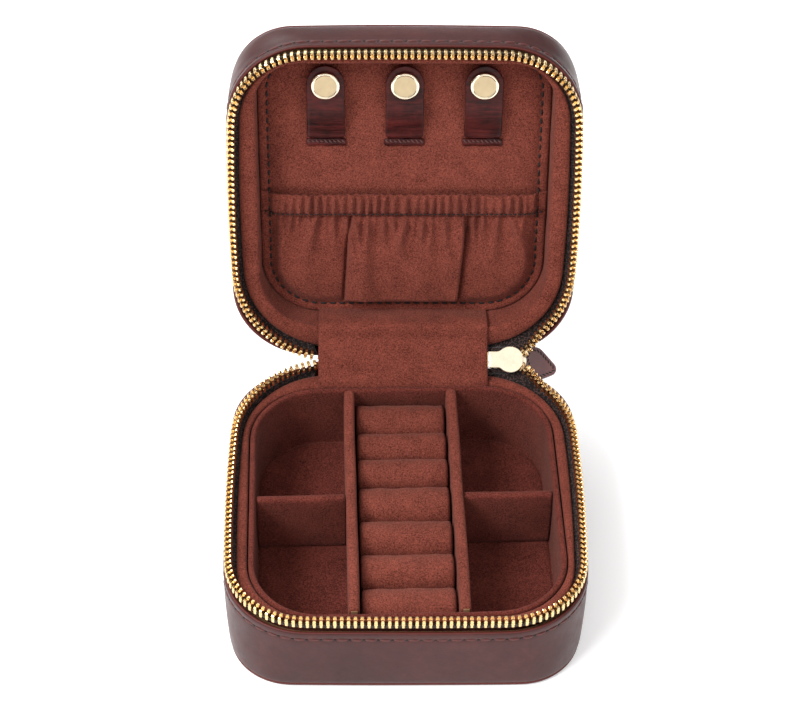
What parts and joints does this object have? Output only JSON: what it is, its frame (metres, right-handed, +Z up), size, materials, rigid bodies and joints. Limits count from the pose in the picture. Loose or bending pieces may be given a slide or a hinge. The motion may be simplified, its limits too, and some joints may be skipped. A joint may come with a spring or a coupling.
{
  "type": "jewellery case",
  "caption": "Small square zip-round leather jewellery case with a hinged lid, ring rolls, divided tray, gathered lid pocket and snap tabs.",
  "frame": {"origin": "centre of the base's underside, on the surface the case stands on", "axes": "+Z up, +X to the case's right seen from its open front, +Y to the hinge side"},
  "size_m": [0.1, 0.1377, 0.1237],
  "materials": {
    "shell_leather": "semi-gloss",
    "strap_leather": "glossy",
    "lining_suede": "matte nap",
    "roll_suede": "matte nap",
    "board": "matte",
    "gold_metal": "polished pale gold",
    "zip_brass": "polished",
    "zip_tape": "woven"
  },
  "bodies": {
    "base": {"base_bottom_leather": "shell_leather", "base_wall_leather": "shell_leather", "base_bottom_board": "board", "base_wall_board": "board", "base_rim_lining": "lining_suede", "tray_wall": "lining_suede", "tray_floor_pad": "lining_suede", "divider_left": "lining_suede", "divider_core_left": "board", "divider_right": "lining_suede", "divider_core_right": "board", "ring_roll_bed": "roll_suede", "ring_roll_1": "roll_suede", "ring_roll_2": "roll_suede", "ring_roll_3": "roll_suede", "ring_roll_4": "roll_suede", "ring_roll_5": "roll_suede", "ring_roll_6": "roll_suede", "ring_roll_7": "roll_suede", "base_zip_teeth": "zip_brass", "base_zip_end_stop": "zip_brass", "base_zip_tape": "zip_tape", "hinge_spine_leather": "shell_leather", "hinge_flap": "lining_suede"},
    "lid": {"lid_top_leather": "shell_leather", "lid_wall_leather": "shell_leather", "lid_top_board": "board", "lid_wall_board": "board", "lid_rim_lining": "lining_suede", "lid_panel_pad": "lining_suede", "lid_zip_teeth": "zip_brass", "lid_zip_end_stop": "zip_brass", "lid_zip_tape": "zip_tape", "lid_pocket": "lining_suede", "lid_pocket_hem": "lining_suede", "snap_stud_1": "gold_metal", "snap_stud_2": "gold_metal", "snap_stud_3": "gold_metal", "strap_feet": "strap_leather"},
    "cross_divider_left": {"cross_divider_left": "lining_suede"},
    "cross_divider_right": {"cross_divider_right": "lining_suede"},
    "zip_slider": {"zip_slider_body": "gold_metal", "zip_slider_bail": "gold_metal"},
    "zip_pull": {"zip_pull_ring": "gold_metal", "zip_pull_tab": "strap_leather"},
    "zip_end": {"zip_bottom_stop": "gold_metal", "zip_tape_end": "zip_tape"},
    "snap_tab_1": {"snap_strap_1": "strap_leather", "snap_socket_1": "gold_metal", "snap_cap_1": "gold_metal"},
    "snap_tab_2": {"snap_strap_2": "strap_leather", "snap_socket_2": "gold_metal", "snap_cap_2": "gold_metal"},
    "snap_tab_3": {"snap_strap_3": "strap_leather", "snap_socket_3": "gold_metal", "snap_cap_3": "gold_metal"}
  },
  "joints": [
    {"name": "lid_hinge", "type": "hinge", "parent": "base", "child": "lid", "pos_m": [0, 0.0486, 0.0275], "axis": [-1, 0, 0], "range_deg": [-102, 0], "deforming": ["hinge_flap", "hinge_spine_leather"]},
    {"name": "zip_end_swing", "type": "hinge", "parent": "base", "child": "zip_end", "pos_m": [0, 0.0486, 0.0275], "axis": [-1, 0, 0], "range_deg": [-51, 0]},
    {"name": "slider_travel", "type": "slide", "parent": "zip_end", "child": "zip_slider", "axis": [1, 0, 0], "range_m": [0, 0.008]},
    {"name": "pull_swing", "type": "hinge", "parent": "zip_slider", "child": "zip_pull", "pos_m": [0.03, 0.05046, 0.02521], "axis": [0, 0.7771, 0.6293], "range_deg": [0, 100]},
    {"name": "snap_tab_1_bend", "type": "hinge", "parent": "lid", "child": "snap_tab_1", "pos_m": [-0.022, 0.07338, 0.09068], "axis": [1, 0, 0], "range_deg": [0, 150]},
    {"name": "snap_tab_2_bend", "type": "hinge", "parent": "lid", "child": "snap_tab_2", "pos_m": [0, 0.07338, 0.09068], "axis": [1, 0, 0], "range_deg": [0, 150]},
    {"name": "snap_tab_3_bend", "type": "hinge", "parent": "lid", "child": "snap_tab_3", "pos_m": [0.022, 0.07338, 0.09068], "axis": [1, 0, 0], "range_deg": [0, 150]},
    {"name": "cross_divider_left_lift", "type": "slide", "parent": "base", "child": "cross_divider_left", "axis": [0, 0, 1], "range_m": [0, 0.025]},
    {"name": "cross_divider_right_lift", "type": "slide", "parent": "base", "child": "cross_divider_right", "axis": [0, 0, 1], "range_m": [0, 0.025]}
  ],
  "couplings": [
    {"joint": "zip_end_swing", "follows": "lid_hinge", "ratio": 0.5}
  ]
}
